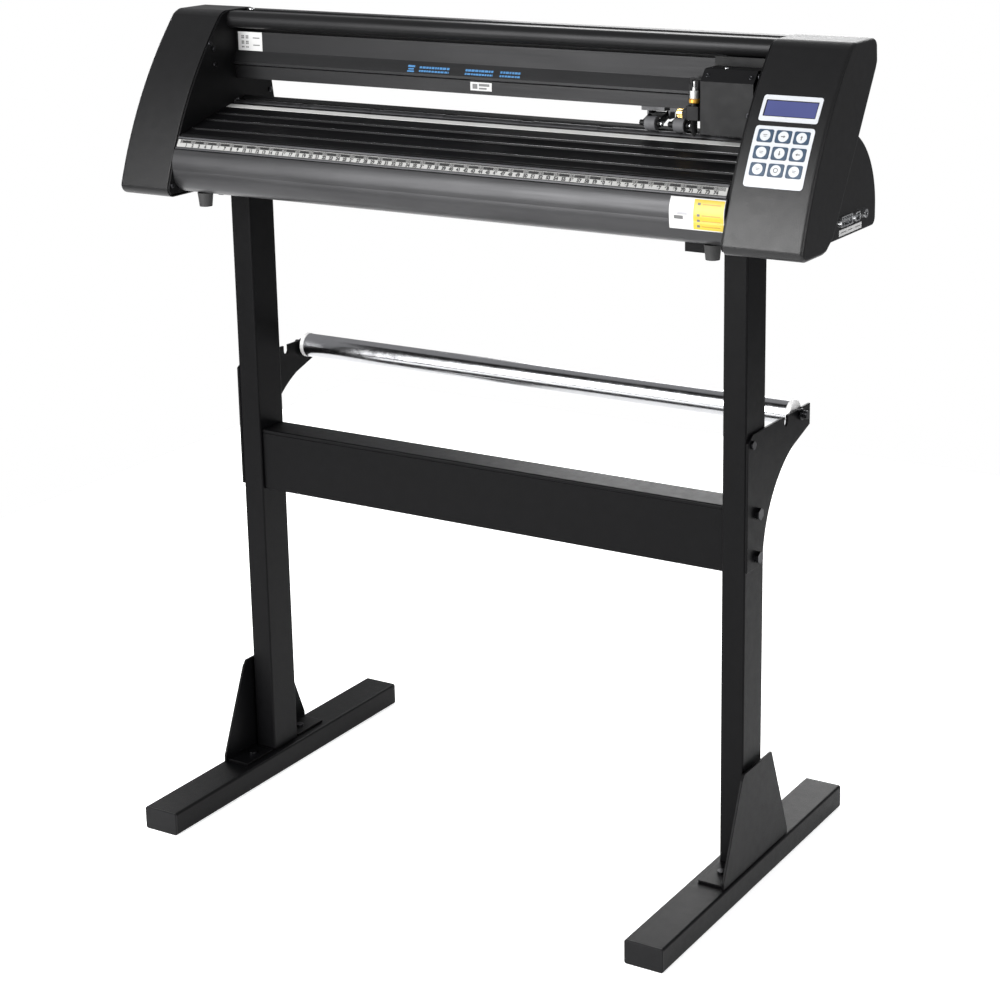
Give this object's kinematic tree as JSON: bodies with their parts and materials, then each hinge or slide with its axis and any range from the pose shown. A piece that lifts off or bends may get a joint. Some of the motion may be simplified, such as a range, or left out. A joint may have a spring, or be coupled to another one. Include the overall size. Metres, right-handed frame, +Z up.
{
  "type": "vinyl cutter",
  "caption": "Black roll-media vinyl cutter with keypad and display on a two-post floor stand with a chrome media roller.",
  "frame": {"origin": "on the floor, under the centre of the object's bounding box", "axes": "+X to the operator's right along the beam, +Y away from the operator, +Z up"},
  "size_m": [0.936, 0.49, 1.017],
  "materials": {
    "powder_coat": "fine satin texture",
    "cover_coat": "fine leather-grain powder coat",
    "anodised_black": "satin black anodised, extruded",
    "cap_plastic": "matte",
    "black_bolt": "black oxide",
    "chrome": "polished",
    "white_plastic": "smooth",
    "steel": "turned",
    "ruler_print": "printed scale tape",
    "strip_white": "cutting strip",
    "black_plastic": "moulded, satin",
    "rubber": "matte",
    "grey_rubber": "pinch roller rubber",
    "belt": "toothed belt",
    "brass": "turned",
    "circuit_green": "solder resist",
    "display_blue": "backlit display",
    "overlay_white": "satin polyester overlay",
    "key_blue": "printed key with white centre",
    "motor": "laminated steel and aluminium"
  },
  "bodies": {
    "frame": {"foot_tubes": "powder_coat", "foot_end_caps": "cap_plastic", "posts": "powder_coat", "gussets": "powder_coat", "crossbeam": "powder_coat", "roller_brackets": "powder_coat", "stand_bolts": "black_bolt", "base_tray": "powder_coat", "front_panel": "anodised_black", "ruler_strip": "ruler_print", "platen": "anodised_black", "cutting_strip": "strip_white", "left_side_plate": "cover_coat", "right_side_plate": "cover_coat", "left_end_cover": "cover_coat", "right_end_cover": "cover_coat", "left_rear_housing": "cover_coat", "right_rear_housing": "cover_coat", "port_connectors": "steel", "gantry_beam": "anodised_black", "carriage_rail": "steel", "rubber_feet": "rubber", "cover_screws": "black_bolt", "stepper_motors": "motor", "feed_belt": "belt", "shaft_bearings": "steel", "carriage_belt": "belt", "circuit_boards": "circuit_green", "display_module": "display_blue", "panel_overlay": "overlay_white"},
    "media_roller": {"roller_tube": "chrome", "roller_end_caps": "white_plastic", "roller_axles": "steel"},
    "feed_roller": {"feed_shaft": "steel", "feed_pulley": "steel"},
    "feed_motor_pulley": {"motor_pulley": "steel"},
    "carriage": {"carriage_plate": "black_plastic", "carriage_cover": "black_plastic", "solenoid": "steel"},
    "tool": {"tool_slide": "black_plastic", "blade_holder": "brass"},
    "tool_screw": {"clamp_screw": "brass"},
    "drive_pulley": {"drive_pulley": "steel"},
    "idler_pulley": {"idler_pulley": "steel"},
    "power_switch": {"power_switch": "black_plastic"},
    "left_pinch_carrier": {"left_pinch_carrier": "black_plastic"},
    "left_pinch_arm": {"left_pinch_arm": "black_plastic"},
    "left_pinch_roller": {"left_pinch_roller": "grey_rubber"},
    "right_pinch_carrier": {"right_pinch_carrier": "black_plastic"},
    "right_pinch_arm": {"right_pinch_arm": "black_plastic"},
    "right_pinch_roller": {"right_pinch_roller": "grey_rubber"},
    "key_1": {"key_1": "key_blue"},
    "key_2": {"key_2": "key_blue"},
    "key_3": {"key_3": "key_blue"},
    "key_4": {"key_4": "key_blue"},
    "key_5": {"key_5": "key_blue"},
    "key_6": {"key_6": "key_blue"},
    "key_7": {"key_7": "key_blue"},
    "key_8": {"key_8": "key_blue"},
    "key_9": {"key_9": "key_blue"}
  },
  "joints": [
    {"name": "media_roller_spin", "type": "hinge", "parent": "frame", "child": "media_roller", "pos_m": [-0.009, 0.116, 0.561], "axis": [1, 0, 0], "continuous": true},
    {"name": "feed_roller_spin", "type": "hinge", "parent": "frame", "child": "feed_roller", "pos_m": [-0.009, 0.018, 0.89564], "axis": [1, 0, 0], "continuous": true},
    {"name": "feed_motor_spin", "type": "hinge", "parent": "frame", "child": "feed_motor_pulley", "pos_m": [0.381, 0.06, 0.85], "axis": [1, 0, 0], "continuous": true},
    {"name": "carriage_slide", "type": "slide", "parent": "frame", "child": "carriage", "axis": [1, 0, 0], "range_m": [-0.632, 0]},
    {"name": "tool_lower", "type": "slide", "parent": "carriage", "child": "tool", "axis": [0, 0, -1], "range_m": [0, 0.0045], "stiffness_N_per_m": 60, "springref_m": -0.015},
    {"name": "tool_screw_turn", "type": "hinge", "parent": "tool", "child": "tool_screw", "pos_m": [0.2595, -0.0016, 0.929], "axis": [1, 0, 0], "range_deg": [0, 720]},
    {"name": "drive_pulley_spin", "type": "hinge", "parent": "frame", "child": "drive_pulley", "pos_m": [0.395, 0.029, 0.975], "axis": [0, 1, 0], "continuous": true},
    {"name": "idler_pulley_spin", "type": "hinge", "parent": "frame", "child": "idler_pulley", "pos_m": [-0.413, 0.029, 0.975], "axis": [0, 1, 0], "continuous": true},
    {"name": "power_switch_rock", "type": "hinge", "parent": "frame", "child": "power_switch", "pos_m": [-0.448, 0.076, 0.818], "axis": [0, 0, 1], "range_deg": [-6, 6]},
    {"name": "left_pinch_slide", "type": "slide", "parent": "frame", "child": "left_pinch_carrier", "axis": [1, 0, 0], "range_m": [-0.56, 0]},
    {"name": "left_pinch_lift", "type": "hinge", "parent": "left_pinch_carrier", "child": "left_pinch_arm", "pos_m": [0.212, 0.04, 0.9205], "axis": [-1, 0, 0], "range_deg": [0, 12], "stiffness_Nm_per_rad": 0.4, "springref_deg": -17.19},
    {"name": "left_pinch_spin", "type": "hinge", "parent": "left_pinch_arm", "child": "left_pinch_roller", "pos_m": [0.212, 0.018, 0.91194], "axis": [1, 0, 0], "continuous": true},
    {"name": "right_pinch_slide", "type": "slide", "parent": "frame", "child": "right_pinch_carrier", "axis": [1, 0, 0], "range_m": [-0.006, 0.1]},
    {"name": "right_pinch_lift", "type": "hinge", "parent": "right_pinch_carrier", "child": "right_pinch_arm", "pos_m": [0.249, 0.04, 0.9205], "axis": [-1, 0, 0], "range_deg": [0, 12], "stiffness_Nm_per_rad": 0.4, "springref_deg": -17.19},
    {"name": "right_pinch_spin", "type": "hinge", "parent": "right_pinch_arm", "child": "right_pinch_roller", "pos_m": [0.249, 0.018, 0.91194], "axis": [1, 0, 0], "continuous": true},
    {"name": "key_1_press", "type": "slide", "parent": "frame", "child": "key_1", "axis": [0, 0.8576, -0.5143], "range_m": [0, 0.0004], "stiffness_N_per_m": 800},
    {"name": "key_2_press", "type": "slide", "parent": "frame", "child": "key_2", "axis": [0, 0.8576, -0.5143], "range_m": [0, 0.0004], "stiffness_N_per_m": 800},
    {"name": "key_3_press", "type": "slide", "parent": "frame", "child": "key_3", "axis": [0, 0.8576, -0.5143], "range_m": [0, 0.0004], "stiffness_N_per_m": 800},
    {"name": "key_4_press", "type": "slide", "parent": "frame", "child": "key_4", "axis": [0, 0.8752, -0.4838], "range_m": [0, 0.0004], "stiffness_N_per_m": 800},
    {"name": "key_5_press", "type": "slide", "parent": "frame", "child": "key_5", "axis": [0, 0.8752, -0.4838], "range_m": [0, 0.0004], "stiffness_N_per_m": 800},
    {"name": "key_6_press", "type": "slide", "parent": "frame", "child": "key_6", "axis": [0, 0.8752, -0.4838], "range_m": [0, 0.0004], "stiffness_N_per_m": 800},
    {"name": "key_7_press", "type": "slide", "parent": "frame", "child": "key_7", "axis": [0, 0.8917, -0.4527], "range_m": [0, 0.0004], "stiffness_N_per_m": 800},
    {"name": "key_8_press", "type": "slide", "parent": "frame", "child": "key_8", "axis": [0, 0.8917, -0.4527], "range_m": [0, 0.0004], "stiffness_N_per_m": 800},
    {"name": "key_9_press", "type": "slide", "parent": "frame", "child": "key_9", "axis": [0, 0.8917, -0.4527], "range_m": [0, 0.0004], "stiffness_N_per_m": 800}
  ],
  "couplings": [
    {"joint": "feed_motor_spin", "follows": "feed_roller_spin", "ratio": 2},
    {"joint": "drive_pulley_spin", "follows": "carriage_slide", "rad_per_m": 110.5},
    {"joint": "idler_pulley_spin", "follows": "carriage_slide", "rad_per_m": 110.5},
    {"joint": "left_pinch_spin", "follows": "feed_roller_spin", "ratio": -1},
    {"joint": "right_pinch_spin", "follows": "feed_roller_spin", "ratio": -1}
  ]
}
